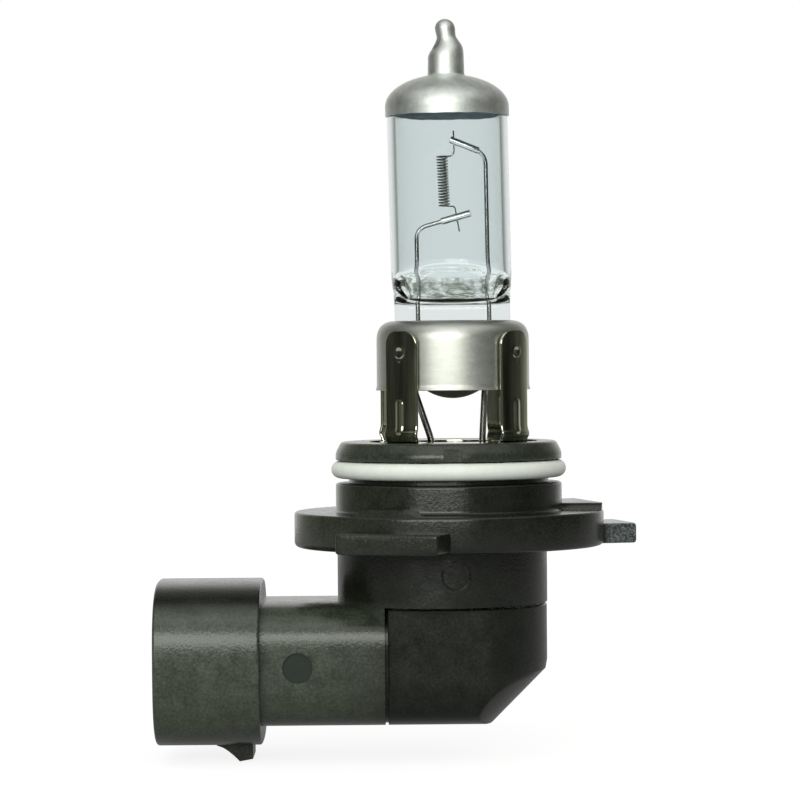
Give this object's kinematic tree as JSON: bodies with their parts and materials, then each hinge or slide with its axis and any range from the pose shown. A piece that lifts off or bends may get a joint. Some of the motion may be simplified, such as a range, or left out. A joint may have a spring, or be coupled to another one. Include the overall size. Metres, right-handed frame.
{
  "type": "headlight bulb",
  "caption": "Right-angle halogen headlight bulb: silver-tipped glass capsule in a metal cup on a black lugged base with a sealing ring and a side plug shroud.",
  "frame": {"origin": "on the base axis, in the seating plane on top of the flange pads", "axes": "+Z along the base axis towards the glass tip, -X out of the plug shroud's mouth, +Y away from the viewer of the picture"},
  "size_m": [0.0469, 0.0349, 0.0723],
  "materials": {
    "glass": "clear",
    "silver_coating": "satin",
    "tungsten": "satin",
    "inner_lead_metal": "bright drawn",
    "clamp_metal": "bright",
    "cup_steel": "satin",
    "cement": "rough",
    "outer_lead_metal": "bright drawn",
    "polished_steel": "polished",
    "base_plastic": "satin moulded",
    "silicone": "matte",
    "cover_plastic": "satin moulded",
    "tinned_brass": "tinned",
    "sealant": "matte"
  },
  "bodies": {
    "root": {"glass_envelope": "glass", "anti_glare_cap": "silver_coating", "filament": "tungsten", "long_inner_lead": "inner_lead_metal", "short_inner_lead": "inner_lead_metal", "upper_leg_clamp": "clamp_metal", "lower_leg_clamp": "clamp_metal", "capsule_cup": "cup_steel", "cement_plug": "cement", "left_outer_lead": "outer_lead_metal", "right_outer_lead": "outer_lead_metal", "capsule_retainer": "polished_steel", "base_housing": "base_plastic", "sealing_ring": "silicone", "rear_cover": "cover_plastic", "front_terminal": "tinned_brass", "rear_terminal": "tinned_brass", "lead_sealant": "sealant"}
  },
  "joints": []
}
